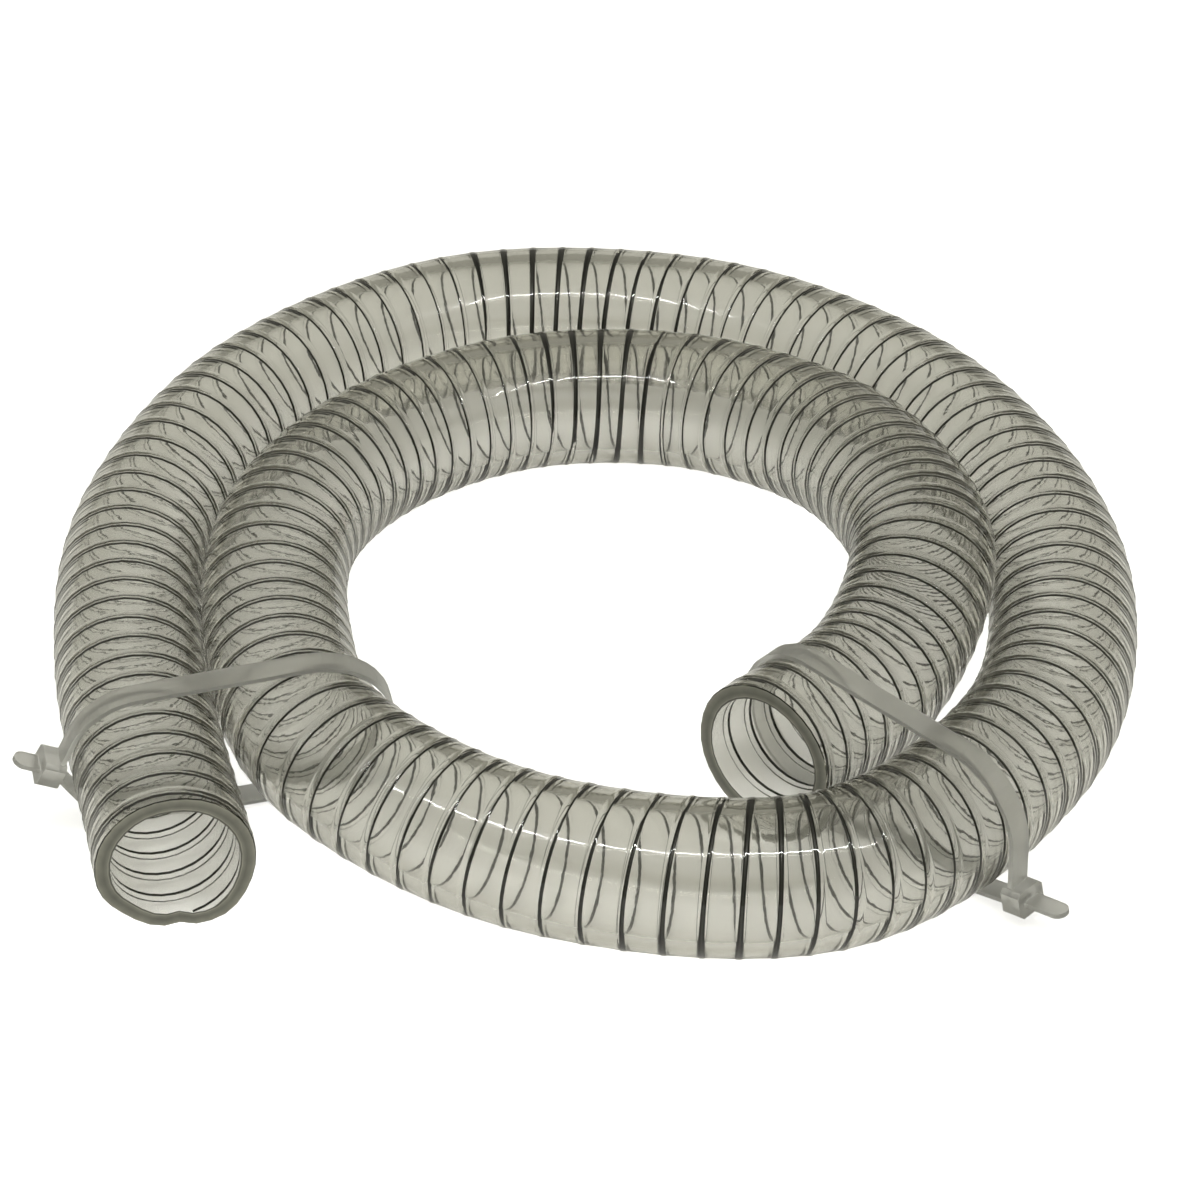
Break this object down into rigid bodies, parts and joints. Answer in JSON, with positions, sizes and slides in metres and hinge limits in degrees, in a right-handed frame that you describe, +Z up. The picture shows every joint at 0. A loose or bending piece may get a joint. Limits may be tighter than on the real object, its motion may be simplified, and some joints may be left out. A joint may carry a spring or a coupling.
{
  "type": "wire reinforced breather hose",
  "caption": "Clear flexible hose with a buried wire helix and open cut ends, tied in a loose flat coil with nylon cable ties.",
  "frame": {"origin": "on the floor, under the middle of the coil's box", "axes": "+Z up out of the coil, the shortest extent; +Y along the coil's longest extent, from the side where both ends lie to the far side; +X to the right as the first end is seen from the front"},
  "size_m": [0.2318, 0.2475, 0.0402],
  "materials": {
    "clear_pvc": "clear flexible PVC with a faint grey-beige tint, glossy",
    "wire_steel": "dark drawn spring steel wire, seen through the wall",
    "natural_nylon": "milky translucent nylon, satin"
  },
  "bodies": {
    "root": {"hose_wall": "clear_pvc", "cable_tie_left": "natural_nylon", "cable_tie_right": "natural_nylon"}
  },
  "joints": []
}
